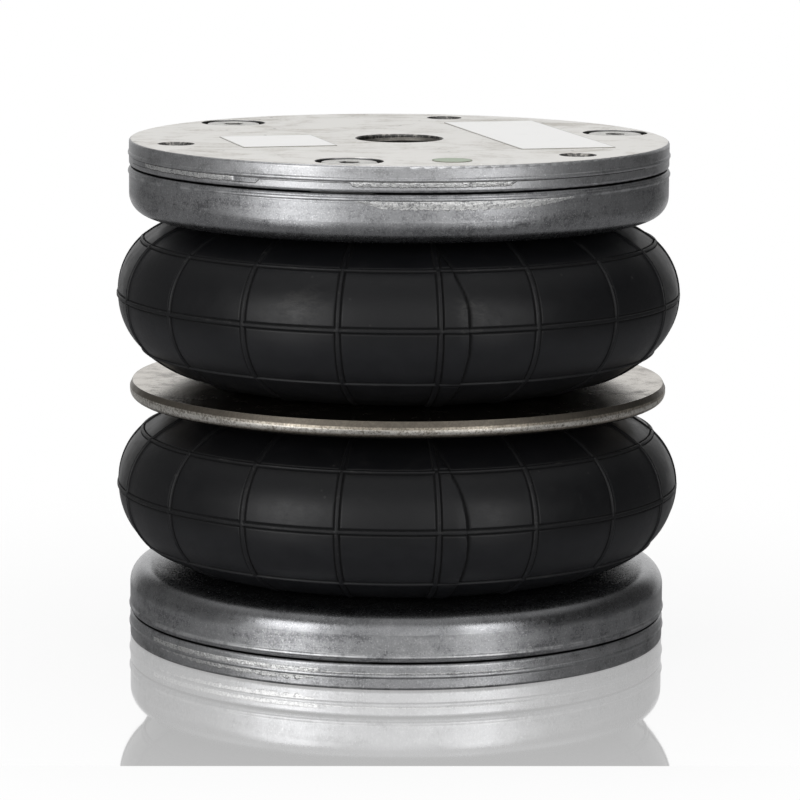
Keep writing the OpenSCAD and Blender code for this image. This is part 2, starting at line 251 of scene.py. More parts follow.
class Link:
    """A shader socket that takes part in Python maths: each operator adds a Math node."""

    def __init__(self, paint, socket):
        self.paint = paint
        self.socket = socket

    def maths(self, operation, *values):
        return self.paint.add("ShaderNodeMath", dict(enumerate(values)), operation=operation)

    def __add__(self, other):
        return self.maths("ADD", self, other)

    def __sub__(self, other):
        return self.maths("SUBTRACT", self, other)

    def __rsub__(self, other):
        return self.maths("SUBTRACT", other, self)

    def __mul__(self, other):
        return self.maths("MULTIPLY", self, other)

    def __pow__(self, other):
        return self.maths("POWER", self, other)

    def largest(self, other):
        return self.maths("MAXIMUM", self, other)

    def __abs__(self):
        return self.maths("ABSOLUTE", self)

    __radd__ = __add__
    __rmul__ = __mul__


class Nodes:
    """The nodes of one material or of the world."""

    def __init__(self, owner):
        owner.use_nodes = True
        self.tree = owner.node_tree
        self.tree.nodes.clear()

    def add(self, kind, inputs=None, output=0, **settings):
        """Adds a node: its settings first, then the values or links of its sockets."""
        node = self.tree.nodes.new(kind)
        for key, value in settings.items():
            setattr(node, key, value)
        for key, value in (inputs or {}).items():
            if isinstance(value, Link):
                self.tree.links.new(value.socket, node.inputs[key])
            else:
                node.inputs[key].default_value = value
        return Link(self, node.outputs[output]) if len(node.outputs) else None

    def split(self, vector):
        """A vector's x, y and z."""
        return [self.add("ShaderNodeSeparateXYZ", {0: vector}, axis) for axis in range(3)]

    def ease(self, value, low, high, start=0.0, end=1.0):
        """start below low and end above high, with a smooth step between them."""
        return self.add("ShaderNodeMapRange", {0: value, 1: low, 2: high, 3: start, 4: end},
                        interpolation_type="SMOOTHSTEP")

    def fall(self, value, low, high):
        """1 below low and 0 above high, with a smooth step between them."""
        return self.ease(value, low, high, 1.0, 0.0)

    def ray(self, kind):
        """1 on rays of that kind."""
        return self.add("ShaderNodeLightPath", output=f"Is {kind} Ray")

    def blend(self, factor, first, second):
        """A shader between two shaders."""
        return self.add("ShaderNodeMixShader", {0: factor, 1: first, 2: second})


class Paint(Nodes):
    """The nodes of one material, on Object coordinates in millimetres."""

    def __init__(self, name):
        self.material = bpy.data.materials.new(name)
        super().__init__(self.material)
        coords = self.add("ShaderNodeTexCoord", output="Object")
        self.place = self.add("ShaderNodeVectorMath", {0: coords, "Scale": 1 / MM}, operation="SCALE")
        self.x, self.y, self.z = self.split(self.place)
        self.square = self.x * self.x + self.y * self.y
        self.radius = self.square ** 0.5

    def stretched(self, x, y, z):
        return self.add("ShaderNodeVectorMath", {0: self.place, 1: (x, y, z)}, operation="MULTIPLY")

    def noise(self, size, detail=2.0, rough=0.55, vector=None, warp=0.0):
        """Noise from 0 to 1 with features of about that many millimetres."""
        return self.add("ShaderNodeTexNoise", {
            "Vector": vector or self.place, "Scale": 1.0 / size, "Detail": detail,
            "Roughness": rough, "Distortion": warp})

    def cells(self, size):
        """Distance to the nearest of points about that many millimetres apart."""
        return self.add("ShaderNodeTexVoronoi", {"Vector": self.place, "Scale": 1.0 / size})

    def layer(self, name):
        """A number that the piece carries at its vertices."""
        return self.add("ShaderNodeAttribute", output="Fac", attribute_name=name)

    def gap(self, at):
        """Distance from a point in millimetres."""
        return self.add("ShaderNodeVectorMath", {0: self.place, 1: at}, "Value", operation="DISTANCE")

    def band(self, value, middle, half, soft):
        """1 within half of middle, easing to 0 over soft."""
        return self.fall(abs(value - middle), half, half + soft)

    def mix(self, factor, first, second, blend="MIX"):
        """A colour between two colours."""
        first, second = [c if isinstance(c, Link) else rgba(c) for c in (first, second)]
        return self.add("ShaderNodeMix", {0: factor, 6: first, 7: second}, 2,
                        data_type="RGBA", blend_type=blend)

    def coats(self, shade, *layers):
        """A colour under coats of other colours, each given with its mask."""
        for mask, tint in layers:
            shade = self.mix(mask, shade, tint)
        return shade

    def bump(self, height, distance, strength):
        """A normal from a height that is worth that many millimetres."""
        return self.add("ShaderNodeBump", {"Strength": strength, "Distance": distance * MM, "Height": height})

    def surface(self, shader):
        """Ends the material in a shader."""
        self.add("ShaderNodeOutputMaterial", {"Surface": shader})
        return self.material

    def finish(self, shade, rough, normal, metallic=0.0, specular=0.5):
        """Ends the material in a surface of that colour, roughness and normal."""
        return self.surface(self.add("ShaderNodeBsdfPrincipled", {
            "Base Color": shade, "Roughness": rough, "Normal": normal, "Metallic": metallic,
            "Specular IOR Level": specular}))

    def metal(self, shade, rough, normal):
        return self.finish(shade, rough, normal, metallic=1.0)


def rgba(shade):
    return (*shade[:3], 1.0)


def cast_base(paint, tints):
    """Mottled cast metal: its colour, roughness and the height of its skin."""
    clouds = paint.noise(21.0, 3.0, 0.55, warp=0.3)
    blotch = paint.noise(5.5, 5.0, 0.66, warp=0.25)
    grain = paint.noise(0.9, 3.0, 0.75)
    fine = paint.noise(0.42, 2.0, 0.7)
    streak = paint.noise(5.0, 3.0, 0.6, paint.stretched(0.25, 0.25, 2.6))
    tone = clouds * 0.20 + blotch * 0.25 + grain * 0.22 + fine * 0.15 + streak * 0.18
    glint = paint.ease(tone, 0.52, 0.66)
    shade = paint.coats(tints.cast_dark,
                        (paint.ease(tone, 0.40, 0.52), tints.cast_mid),
                        (glint * 0.7, tints.cast_bright),
                        (paint.ease(fine, 0.58, 0.70) * 0.8, tints.cast_bright),
                        (paint.ease(1.0 - fine, 0.60, 0.72) * 0.5, tints.cast_dark))
    rough = 0.41 - 0.08 * glint + 0.22 * (grain - 0.5) + 0.12 * (blotch - 0.5)
    skin = blotch * 0.35 + grain * 0.45 + fine * 0.2
    return shade, rough, skin


def bolt_gap(paint, turned, holes):
    """Distance from the nearest of that many evenly spaced points on the bolt circle."""
    angle = paint.y.maths("ARCTAN2", paint.y, paint.x)
    fold = angle.maths("PINGPONG", angle - turned, math.pi / holes)
    circle = BOLT_CIRCLE / MM
    square = paint.square + circle ** 2 - paint.radius * fold.maths("COSINE", fold) * (2 * circle)
    return square ** 0.5


def plate_paint(name, tints, face, inward, worn, port):
    """A cast end plate with a machined face, painted shade in its holes and behind its rim, and painted
    glints in its holes' mouths.

    inward points into the plate, worn is how far its rim is rubbed, port is its air port's radius or 0.
    """
    paint = Paint(name)
    depth = (paint.z - face / MM) * inward
    cast, rough, skin = cast_base(paint, tints)
    edge = paint.band(depth, 0.5, 0.2, 0.6) * paint.ease(paint.radius, RIM / MM - 0.8, RIM / MM - 0.1)
    rub = edge * paint.ease(paint.noise(5.0, 4.0, 0.7), 0.48, 0.66)
    # Painted shade: counterbores, hole mouths and the faces behind the rim are darkened, with painted glints
    # in the mouths
    well = paint.fall(bolt_gap(paint, BOLT_TURN, 2 * BOLT_COUNT), WELL_RADIUS, WELL_RADIUS + 0.3)
    mouth = paint.fall(bolt_gap(paint, BOLT_TURN, BOLT_COUNT), TAP_MOUTH, TAP_MOUTH + 0.1)
    if port:
        mouth = mouth.largest(paint.fall(paint.radius, port, port + 0.1))
    inside = paint.ease(depth, PLATE_DEPTH, PLATE_DEPTH + 0.1)
    painted_shade = (well * paint.ease(depth, 0.06, 0.4)).largest(mouth).largest(inside)
    glints = mouth * paint.ease(paint.noise(1.1, 3.0, 0.6, paint.stretched(1.0, 1.0, 0.2)), 0.48, 0.62)
    cast = paint.coats(cast,
                       ((rub * 0.55).largest(worn), tints.cast_bright),
                       (painted_shade * 0.9, paint.mix(glints, tints.painted_shade, tints.port_thread)))
    clouds = paint.noise(24.0, 5.0, 0.62, warp=1.1)
    scuffs = paint.noise(7.0, 5.0, 0.7, paint.stretched(0.45, 1.6, 1.0), warp=0.7)
    specks = paint.noise(1.1, 3.0, 0.65)
    stain = paint.ease(clouds * 0.5 + scuffs * 0.34 + specks * 0.16, 0.475, 0.64)
    pits = paint.fall(paint.cells(5.5), 0.05, 0.13) * paint.ease(clouds, 0.47, 0.6)
    machined = paint.coats(tints.face, (stain * 0.75, tints.face_stain), (pits * 0.8, tints.cast_dark))
    on_face = paint.fall(depth, 0.03, 0.12) * (1.0 - mouth)
    rough = on_face * (0.42 + stain * 0.16) + (1.0 - on_face) * rough
    height = on_face * (specks * 0.25 - pits * 1.5) + (1.0 - on_face) * skin * 1.6
    return paint.metal(paint.mix(on_face, cast, machined), rough, paint.bump(height, 0.05, 0.8))


def ring_paint(name, tints, split, inward, fillet_shade):
    """A cast clamp ring; split is the height of its edge at the plate, fillet_shade how dark painted shade
    makes its rounded end.
    """
    paint = Paint(name)
    depth = (paint.z - split / MM) * inward
    cast, rough, skin = cast_base(paint, tints)
    # Painted shade: the rounded end is darkened as the dark rubber above it would shade it
    shade_tide = paint.ease(depth + 4.0 * paint.noise(15.0, 3.0), 8.0, 10.5)
    fillet = paint.ease(depth, 6.5, 9.0)
    rub = paint.band(depth, 1.7, 0.25, 0.6) * paint.ease(paint.noise(6.0, 4.0, 0.7), 0.42, 0.62)
    # Painted shade: the ring's edge at the split with the plate is darkened
    cast = paint.coats(cast,
                       ((shade_tide * fillet_shade).largest(0.12), tints.cast_dark),
                       (rub * 0.6, tints.cast_bright),
                       (paint.fall(depth, 0.02, 0.14), tints.painted_shade))
    return paint.metal(cast, rough - 0.14 * fillet, paint.bump(skin * (1.0 - 0.65 * fillet), 0.08, 0.8))


def torn_paint(name, tints):
    """Flash that was broken off: bright torn metal with dark flecks, and painted shadow lines along the edges
    of lined strips.
    """
    paint = Paint(name)
    cast, rough, skin = cast_base(paint, tints)
    rubble = paint.noise(1.3, 4.0, 0.75) * 0.5 + paint.noise(0.5, 3.0, 0.7) * 0.5
    share = paint.layer("torn")
    torn = share * paint.ease(rubble, 0.38, 0.54)
    # Painted shadow: dark lines along the upper and lower edges of lined strips
    shade = paint.coats(cast,
                        (torn * 0.95, tints.torn),
                        (share * paint.fall(rubble, 0.36, 0.44) * 0.6, tints.cast_dark),
                        (paint.fall(paint.layer("edge"), 0.1, 0.26) * 0.85, tints.painted_shade))
    normal = paint.bump(skin * 0.3 + share * rubble, 0.22, 0.9)
    return paint.metal(shade, rough + 0.12 * (share - torn), normal)


def rubber_paint(name, tints):
    """Moulded black rubber with faint mould marks, bloom, dust and rubbed places, painted shade along the
    feet of its ribs and painted light that makes its lower flanks paler.
    """
    paint = Paint(name)
    clouds = paint.noise(26.0, 4.0, 0.6, warp=0.5)
    bloom = paint.noise(6.5, 4.0, 0.65)
    grain = paint.noise(0.55, 2.0, 0.6)
    smear = paint.ease(paint.noise(11.0, 5.0, 0.7, paint.stretched(1.0, 1.0, 0.55), warp=0.9), 0.56, 0.75)
    specks = paint.fall(paint.cells(10.0), 0.02, 0.055)
    rubs = sum(paint.fall(paint.gap(at), 1.0, reach) for at, reach in SMUDGES)
    scuff = paint.noise(2.2, 5.0, 0.75, paint.stretched(0.5, 0.5, 1.3), warp=0.5)
    # Painted light: bands under each equator, where the lower flanks are made paler
    low = sum(paint.band(paint.z, line / MM - 13.0, 6.0, 7.0) for line in (UPPER_EQUATOR, LOWER_EQUATOR))
    crest = paint.layer("crest")
    groove = paint.layer("groove")
    dust = smear * 0.16 + specks * 0.8 + rubs * paint.ease(scuff, 0.40, 0.64)
    # Painted shade: the feet of the ribs and the lapped edge, and a little of the crests, are darkened
    shade = paint.coats(tints.rubber,
                        (dust, tints.rubber_dust),
                        (paint.ease(clouds, 0.35, 0.7) * 0.5, tints.rubber_cloud),
                        (low * (0.3 + bloom * 0.9), tints.painted_flank_light),
                        (groove * 0.95 + crest * 0.15, tints.rubber_rib_shade),
                        (crest * paint.ease(scuff, 0.56, 0.70) * 0.8, tints.rubber_dust))
    rough = 0.30 + 0.24 * bloom + 0.10 * smear + 0.16 * (grain - 0.5) + 0.5 * groove + 0.06 * crest
    height = grain * 0.25 + bloom * 0.75
    return paint.finish(shade, rough, paint.bump(height, 0.055, 0.8), specular=0.35)


def girdle_paint(name, tints, rim, middle):
    """Turned metal ring with tool marks, tarnish, a rubbed rim, painted shade on its chamfer and under its
    rim, and a painted highlight on the left of its rim.
    """
    paint = Paint(name)
    rise = paint.z - middle / MM
    along = paint.add("ShaderNodeCombineXYZ", {0: paint.radius * 2.4, 1: paint.z * 1.6, 2: paint.x * 0.03})
    tool = paint.noise(1.0, 3.0, 0.6, along)
    clouds = paint.noise(15.0, 5.0, 0.65, warp=0.8)
    blotch = paint.noise(3.4, 4.0, 0.7, warp=0.4)
    grit = paint.noise(0.7, 4.0, 0.75)
    flecks = paint.ease(grit, 0.42, 0.58)
    tarnish = paint.ease(clouds * 0.6 + blotch * 0.4, 0.45, 0.64)
    on_rim = paint.ease(paint.radius, rim / MM - 0.9, rim / MM - 0.6)
    # Painted shade: the chamfer on top of the rim is darkened
    slant = on_rim * paint.ease(rise, 0.7, 1.0)
    # Painted highlight: the left side of the rim is lightened
    left = on_rim * (1.0 - slant) * paint.fall(paint.x, -66.0, -24.0)
    worn = on_rim * paint.band(rise, -0.5, 0.45, 0.4) * paint.ease(blotch * 0.4 + grit * 0.6, 0.38, 0.54)
    # Painted shade: the lower part of the rim is darkened
    under = on_rim * paint.ease(0.0 - rise, 0.9, 1.9)
    pits = on_rim * paint.fall(paint.cells(2.6), 0.10, 0.2) * paint.ease(clouds, 0.45, 0.6)
    shade = paint.mix(tarnish * 0.7, tints.girdle, tints.girdle_dark)
    shade = paint.coats(paint.mix(tool * 0.35, shade, tints.girdle_bright, "OVERLAY"),
                        ((1.0 - on_rim) * 0.5 + slant * (0.7 + 0.3 * blotch), tints.girdle_dark),
                        (left * (0.4 + 0.6 * flecks), tints.girdle_bright),
                        (on_rim * (1.0 - flecks) * 0.65, tints.girdle_dark),
                        (worn * 0.9, tints.girdle_bright),
                        (under * 0.6, tints.girdle_dark),
                        (pits * 0.8, tints.girdle_dark))
    rough = 0.15 + 0.12 * tarnish + 0.06 * tool + 0.2 * on_rim
    height = tool * 0.6 + blotch * 0.4 - pits + on_rim * grit
    return paint.metal(shade, rough, paint.bump(height, 0.04, 0.7))


def plated_paint(name, tint, paint=None, dirt=0.0, shade_colour=WHITE):
    """Plated steel with fine scuffs, and painted shade of shade_colour where that mask is 1."""
    paint = paint or Paint(name)
    scuff = paint.noise(0.5, 3.0, 0.6)
    dull = paint.ease(paint.noise(3.0, 4.0, 0.65) * 0.6 + scuff * 0.4, 0.4, 0.68)
    shade = paint.coats(tint, (dull, darker(tint)), (dirt, shade_colour))
    return paint.metal(shade, 0.36 + 0.2 * scuff, paint.bump(scuff, 0.015, 0.6))


def darker(tint):
    return [part * 0.6 for part in tint]


def screw_paint(name, tints, sizes, face, inward):
    """Plated screws with painted shade in their sockets."""
    paint = Paint(name)
    depth = (paint.z - face / MM) * inward - sizes.head_sink / MM
    # Painted shade: the inside of each socket is darkened
    socket = paint.fall(bolt_gap(paint, BOLT_TURN + BOLT_STEP / 2, BOLT_COUNT), 3.2, 3.4)
    return plated_paint(name, tints.screw, paint, socket * paint.ease(depth, 0.03, 0.2) * 0.9, tints.painted_shade)


def film_paint(name, tints, tint, node, rough, outside):
    """Blank film with a faint fibre, dirt, and dirt and painted shade at its edge and on its sides; outside
    gives the distance past that edge.
    """
    paint = Paint(name)
    low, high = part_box(node)
    edge = outside(paint.x - (low.x + high.x) / 2 / MM, paint.y - (low.y + high.y) / 2 / MM)
    side = paint.fall(paint.z, high.z / MM - 0.05, high.z / MM - 0.01)
    # Dirt and painted shade: a band inside the edge and the side faces are darkened
    rim = (paint.ease(edge, -0.7, -0.2) * 0.5).largest(side)
    fibre = paint.noise(0.7, 3.0, 0.6)
    dirt = paint.ease(paint.noise(9.0, 5.0, 0.7, warp=0.6), 0.52, 0.8)
    shade = paint.coats(tint, (fibre * 0.08 + dirt * 0.14, darker(tint)), (rim, tints.film_edge_dirt_and_shade))
    return paint.finish(shade, rough + 0.12 * fibre, paint.bump(fibre, 0.012, 0.5))


def wear(node, material):
    """Gives a CAD node its material."""
    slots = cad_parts[node].data.materials
    slots.clear()
    slots.append(material)


def new_mesh(bm, name):
    """Turns a bmesh into a mesh."""
    mesh = bpy.data.meshes.new(name)
    bm.to_mesh(mesh)
    bm.free()
    return mesh


def new_object(name, data):
    """Puts an object into the scene, at the origin."""
    made = bpy.data.objects.new(name, data)
    bpy.context.scene.collection.objects.link(made)
    return made


def finish_piece(bm, name, material, sharp=None):
    """Closes a bmesh into a piece at the origin, faces outwards, with edges over that many degrees sharp."""
    bmesh.ops.remove_doubles(bm, verts=bm.verts, dist=TOUCHING)
    bmesh.ops.recalc_face_normals(bm, faces=bm.faces)
    for face in bm.faces:
        face.smooth = True
    if sharp is not None:
        limit = math.radians(sharp)
        for edge in bm.edges:
            edge.smooth = len(edge.link_faces) == 2 and edge.calc_face_angle(0.0) < limit
    mesh = new_mesh(bm, name)
    mesh.materials.append(material)
    piece = new_object(name, mesh)
    return piece


def edges_of(items):
    """The edges among the results of a bmesh operator."""
    return [item for item in items if isinstance(item, bmesh.types.BMEdge)]


def spin(bm, geom, sweep, steps, centre=ORIGIN, axis=AXIS, climb=ORIGIN):
    """Spins vertices or edges about an axis and returns what lies at the end; climb is added at each step."""
    made = bmesh.ops.spin(bm, geom=geom, cent=centre, axis=axis, dvec=climb, angle=sweep, steps=steps,
                          use_merge=False, use_duplicate=False)
    return made["geom_last"]


def arc(bm, vert, centre, sweep, steps):
    """Draws an arc in the section plane from a vertex and returns its far end."""
    last = spin(bm, [vert], sweep, steps, centre, SECTION_AXIS)
    return next(item for item in last if isinstance(item, bmesh.types.BMVert))


def run(bm, vert, x, z):
    """Draws a straight line in the section plane from a vertex and returns its far end."""
    made = bmesh.ops.extrude_vert_indiv(bm, verts=[vert])
    bmesh.ops.translate(bm, verts=made["verts"], vec=(x, 0.0, z))
    return made["verts"][0]


def stand(bm, up, at):
    """Turns a shape over where up is -1, and moves it to its place."""
    bmesh.ops.scale(bm, verts=bm.verts, vec=(1.0, 1.0, up))
    bmesh.ops.translate(bm, verts=bm.verts, vec=at)


def smooth_step(value, low, high):
    part = min(max((value - low) / (high - low), 0.0), 1.0)
    return part * part * (3.0 - 2.0 * part)


class HalfSection:
    """Half of a convolution's section, from its equator to a flank's foot, with the equator on z = 0."""

    def __init__(self, sizes, side):
        self.sizes = sizes
        self.rise = getattr(sizes, side + "_rise")
        self.flank = getattr(sizes, side + "_flank")
        self.nose_at = sizes.equator - sizes.nose
        self.hoop_arc = math.asin(sizes.hoop_rise / sizes.nose)
        hoop_r = self.nose_at + sizes.nose * math.cos(self.hoop_arc)
        drop = self.flank - self.rise + sizes.hoop_rise
        self.foot = hoop_r - math.sqrt(self.flank ** 2 - drop ** 2)
        self.flank_at = self.rise - self.flank
        self.flank_arc = math.pi / 2 - math.atan2(drop, hoop_r - self.foot)
        self.hoops = [Vector((sizes.equator, 0.0)), Vector((hoop_r, sizes.hoop_rise))]

    def draw(self, bm):
        """Draws the closed section, with short edges by the hoops, and returns its edges."""
        wall = self.sizes.wall
        nose = Vector((self.nose_at, 0.0, 0.0))
        flank = Vector((self.foot, 0.0, self.flank_at))
        start = bm.verts.new((self.sizes.equator, 0.0, 0.0))
        end = start
        near = HOOP_REACH / self.sizes.nose
        for sweep, steps in ((near, 10), (self.hoop_arc - 2 * near, 11), (near, 9)):
            end = arc(bm, end, nose, sweep, steps)
        near = HOOP_REACH / self.flank
        for sweep, steps in ((near, 9), (self.flank_arc - near, 15)):
            end = arc(bm, end, flank, sweep, steps)
        end = run(bm, end, 0.0, -wall)
        end = arc(bm, end, flank, -self.flank_arc, 12)
        inner = bm.verts.new((self.sizes.equator - wall, 0.0, 0.0))
        back = arc(bm, inner, nose, self.hoop_arc, 12)
        bm.edges.new((end, back))
        bm.edges.new((inner, start))
        return list(bm.edges)

    def normal(self, radius, height):
        """Outward direction of the section at a point of its outer arcs, or None on the others."""
        for centre, reach in ((Vector((self.nose_at, 0.0)), self.sizes.nose),
                              (Vector((self.foot, self.flank_at)), self.flank)):
            out = Vector((radius, height)) - centre
            if abs(out.length - reach) < ON_ARC:
                return out.normalized()
        return None


def half_convolution(name, sizes, side, equator, up, material):
    """One half of a convolution, ribbed, in its place."""
    section = HalfSection(sizes, side)
    bm = bmesh.new()
    last = section.draw(bm)
    pitch = 2 * math.pi / sizes.rib_count
    rib = RIB_REACH / sizes.equator
    panel = pitch - 2 * rib
    angle = sizes.rib_turn - rib
    bmesh.ops.rotate(bm, verts=bm.verts, cent=ORIGIN, matrix=Matrix.Rotation(angle, 3, "Z"))
    for _ in range(sizes.rib_count):
        lap = (sizes.splice_turn - angle - 2 * rib) % (2 * math.pi)
        # Sweep and steps of each stretch: the rib first, then the panel up to the next one
        spans = [(2 * rib, 16), (panel, 10)]
        if lap < panel:
            spans[1:] = [(lap - LAP_BACK, 2), (LAP_BACK + LAP_AHEAD, 29), (panel - lap - LAP_AHEAD, 6)]
        for sweep, steps in spans:
            last = edges_of(spin(bm, last, sweep, steps))
        angle += pitch
    bmesh.ops.remove_doubles(bm, verts=bm.verts, dist=SEAM)
    crest = bm.verts.layers.float.new("crest")
    groove = bm.verts.layers.float.new("groove")
    for vert in bm.verts:
        vert[crest], vert[groove] = raise_ribs(vert, section, equator, up)
    stand(bm, up, (0.0, 0.0, equator))
    return finish_piece(bm, name, material, 50.0)


def ridge(gap, width):
    """Shares of a rib's height, and of the groove along its foot, at a distance from its middle."""
    half = width / 2
    foot = smooth_step(gap, 0.75 * half, half) * (1.0 - smooth_step(gap, 1.15 * half, 1.65 * half))
    return 1.0 - smooth_step(gap, 0.45 * half, half), foot


def lapped_edge(sizes, angle, height, equator, up):
    """Shares of the lap's step, and of the groove along its foot, by the degrees past its wandering edge."""
    along = (equator + up * height) / MM
    wander = math.radians(0.4 * noise.noise(Vector((0.0, 3.1, along / 14.0)))
                          + 0.25 * noise.noise(Vector((0.0, 7.4, along / 4.5))))
    lean = sizes.splice_over if up > 0 else sizes.splice_under
    wander -= lean * (height / sizes.hoop_rise) ** 2
    past = math.degrees((angle - sizes.splice_turn - wander + math.pi) % (2 * math.pi) - math.pi)
    step = smooth_step(past, -5.6, -1.2) * (1.0 - smooth_step(past, 0.0, 0.28))
    foot = smooth_step(past, 0.0, 0.3) * (1.0 - smooth_step(past, 0.4, 1.0))
    return step, foot


def raise_ribs(vert, section, equator, up):
    """Lifts a point of the outer surface by its rib, hoop or lap, and returns its crest and groove."""
    sizes = section.sizes
    radius = vert.co.xy.length
    out = section.normal(radius, vert.co.z)
    if out is None:
        return 0.0, 0.0
    angle = math.atan2(vert.co.y, vert.co.x)
    pitch = 2 * math.pi / sizes.rib_count
    across = abs((angle - sizes.rib_turn + pitch / 2) % pitch - pitch / 2) * radius
    fade = smooth_step(radius - section.foot, *RIB_FADE)
    rib, rib_foot = [share * fade for share in ridge(across, sizes.rib_width)]
    here = Vector((radius, vert.co.z))
    middle, edge = [(here - line).length for line in section.hoops]
    if middle < edge:
        hoop, hoop_foot = ridge(middle, sizes.hoop_width)
    else:
        hoop, hoop_foot = ridge(edge, sizes.edge_hoop_width)
    lap, lap_foot = [share * fade for share in lapped_edge(sizes, angle, vert.co.z, equator, up)]
    crest = max(rib, hoop)
    groove = max(rib_foot, hoop_foot, lap_foot) * (1.0 - crest)
    raised = ((rib * sizes.rib_height) ** 4 + (hoop * sizes.hoop_height) ** 4) ** 0.25
    lift = raised + lap * sizes.splice_step * (1.0 - 0.7 * hoop) - groove * sizes.groove
    flat = out.x * lift
    vert.co.x += flat * math.cos(angle)
    vert.co.y += flat * math.sin(angle)
    vert.co.z += out.y * lift
    return crest, groove


def helix(name, radius, pitch, depth, height, at, material, up):
    """A thread that stands in a tapped hole, from its mouth downwards."""
    bm = bmesh.new()
    reach = height + THREAD_ROOT
    flank, crest = 0.42 * pitch, 0.14 * pitch
    start = bm.verts.new((radius + THREAD_ROOT, 0.0, 0.0))
    tip = run(bm, start, -reach, -flank)
    flat = run(bm, tip, 0.0, -crest)
    end = run(bm, flat, reach, -flank)
    bm.edges.new((end, start))
    turns = (depth - pitch) / pitch
    steps = int(turns * THREAD_STEPS)
    first = list(bm.edges)
    last = spin(bm, first, 2 * math.pi * turns, steps, climb=(0.0, 0.0, -turns * pitch / steps))
    bmesh.ops.edgeloop_fill(bm, edges=first)
    bmesh.ops.edgeloop_fill(bm, edges=edges_of(last))
    stand(bm, up, at)
    return finish_piece(bm, name, material, 40.0)


def circle(bm, segments, radius):
    """Draws a circle on z = 0 and returns its edges."""
    made = bmesh.ops.create_circle(bm, segments=segments, radius=radius)
    return list({edge for vert in made["verts"] for edge in vert.link_edges})


def step_ring(bm, edges, scale, drop):
    """Extrudes a ring of edges, scales it about the axis and moves it down; returns the new ring."""
    made = bmesh.ops.extrude_edge_only(bm, edges=edges)
    verts = [item for item in made["geom"] if isinstance(item, bmesh.types.BMVert)]
    bmesh.ops.scale(bm, verts=verts, vec=(scale, scale, 1.0))
    bmesh.ops.translate(bm, verts=verts, vec=(0.0, 0.0, -drop))
    return [edge for edge in edges_of(made["geom"]) if all(vert in verts for vert in edge.verts)]


def screw_shape(bm, sizes):
    """A low-head socket screw that hangs down from its head's face on z = 0."""
    chamfer, lead, bevel, cone, grip = 0.6 * MM, 0.8 * MM, 0.25 * MM, 0.8 * MM, 11.2 * MM
    top_r = sizes.head_radius - chamfer
    ring = circle(bm, 48, top_r)
    mouth = circle(bm, 6, sizes.socket_flats / math.sqrt(3) + bevel)
    well = edges_of(bmesh.ops.subdivide_edges(bm, edges=mouth, cuts=7)["geom"])
    bmesh.ops.bridge_loops(bm, edges=ring + well)
    for scale, drop in ((sizes.head_radius / top_r, chamfer),
                        (1.0, sizes.head_height - chamfer),
                        (sizes.shank_radius / sizes.head_radius, 0.0),
                        (1.0, grip - sizes.head_height),
                        (sizes.thread_radius / sizes.shank_radius, 0.0),
                        (1.0, sizes.screw_length - grip - lead),
                        (1.0 - lead / sizes.thread_radius, lead)):
        ring = step_ring(bm, ring, scale, drop)
    for scale, drop in ((0.95, bevel), (1.0, sizes.socket_depth - bevel), (0.1, cone)):
        well = step_ring(bm, well, scale, drop)
    bmesh.ops.edgeloop_fill(bm, edges=ring)
    bmesh.ops.edgeloop_fill(bm, edges=well)


def clamp_screws(name, sizes, face, up, material):
    """The clamp screws of one end, each with its socket turned another way."""
    bm = bmesh.new()
    for index in range(BOLT_COUNT):
        single = bmesh.new()
        screw_shape(single, sizes)
        angle = BOLT_TURN + (index + 0.5) * BOLT_STEP
        place = Matrix.Rotation(angle, 4, "Z") @ Matrix.Translation((BOLT_CIRCLE, 0.0, 0.0))
        place = Matrix.Translation((0.0, 0.0, face - up * sizes.head_sink)) @ place
        place = place @ Matrix.Diagonal((1.0, 1.0, up, 1.0)) @ Matrix.Rotation(0.35 + 0.7 * index, 4, "Z")
        bmesh.ops.transform(single, matrix=place, verts=single.verts)
        mesh = new_mesh(single, "screw")
        bm.from_mesh(mesh)
        bpy.data.meshes.remove(mesh)
    return finish_piece(bm, name, material, 30.0)


class Strip:
    """A strip of casting flash along a rim, in millimetres and in degrees from the front.

    top is its upper edge, heights are pairs of an angle and the height there, torn holds the ends of its torn
    stretches, and lined strips have painted shadow lines along their edges.
    """

    def __init__(self, name, body, top, heights, torn, lined=False):
        self.name, self.body, self.top = name, body, top
        self.heights, self.torn, self.lined = heights, torn, lined
        self.start, self.end = heights[0][0], heights[-1][0]

    def height(self, angle):
        """Height at an angle, in metres."""
        before, after = self.heights[0], self.heights[-1]
        for first, second in zip(self.heights, self.heights[1:]):
            if first[0] <= angle <= second[0]:
                before, after = first, second
                break
        span = after[0] - before[0]
        share = min(max((angle - before[0]) / span, 0.0), 1.0)
        return (before[1] + share * (after[1] - before[1])) * MM

    def rough(self, angle):
        """1 where the strip is torn and 0 where it is clean."""
        return max(smooth_step(angle, start - 0.6, start) * (1.0 - smooth_step(angle, end, end + 0.6))
                   for start, end in self.torn)


FLASH = (
    Strip("top_plate_flash", "top", 137.35,
          ((-76.0, 1.5), (-30.2, 1.65), (-29.2, 0.5), (-9.8, 0.5), (-9.2, 1.5), (23.0, 1.45), (24.2, 0.3),
           (62.0, 0.2)),
          ((-66.0, -36.0), (-9.2, 23.4)), lined=True),
    Strip("top_ring_flash", "top", 132.2,
          ((-58.0, 0.2), (-30.0, 0.55), (-7.5, 0.6), (-3.0, 2.2), (10.0, 2.5), (28.0, 2.3), (40.0, 0.2)),
          ((-8.0, 38.0),)),
    Strip("bottom_plate_flash", "base", 4.75,
          ((-24.0, 0.15), (-14.0, 0.6), (8.0, 0.45), (24.0, 0.5), (30.0, 0.15)),
          ((-20.0, 27.0),)),
    Strip("bottom_plate_break", "base", 5.5,
          ((-64.0, 1.2), (-58.0, 2.6), (-44.0, 3.4), (-22.0, 3.7), (-17.0, 3.0), (-14.0, 0.4)),
          ((-62.0, -16.0),)),
)


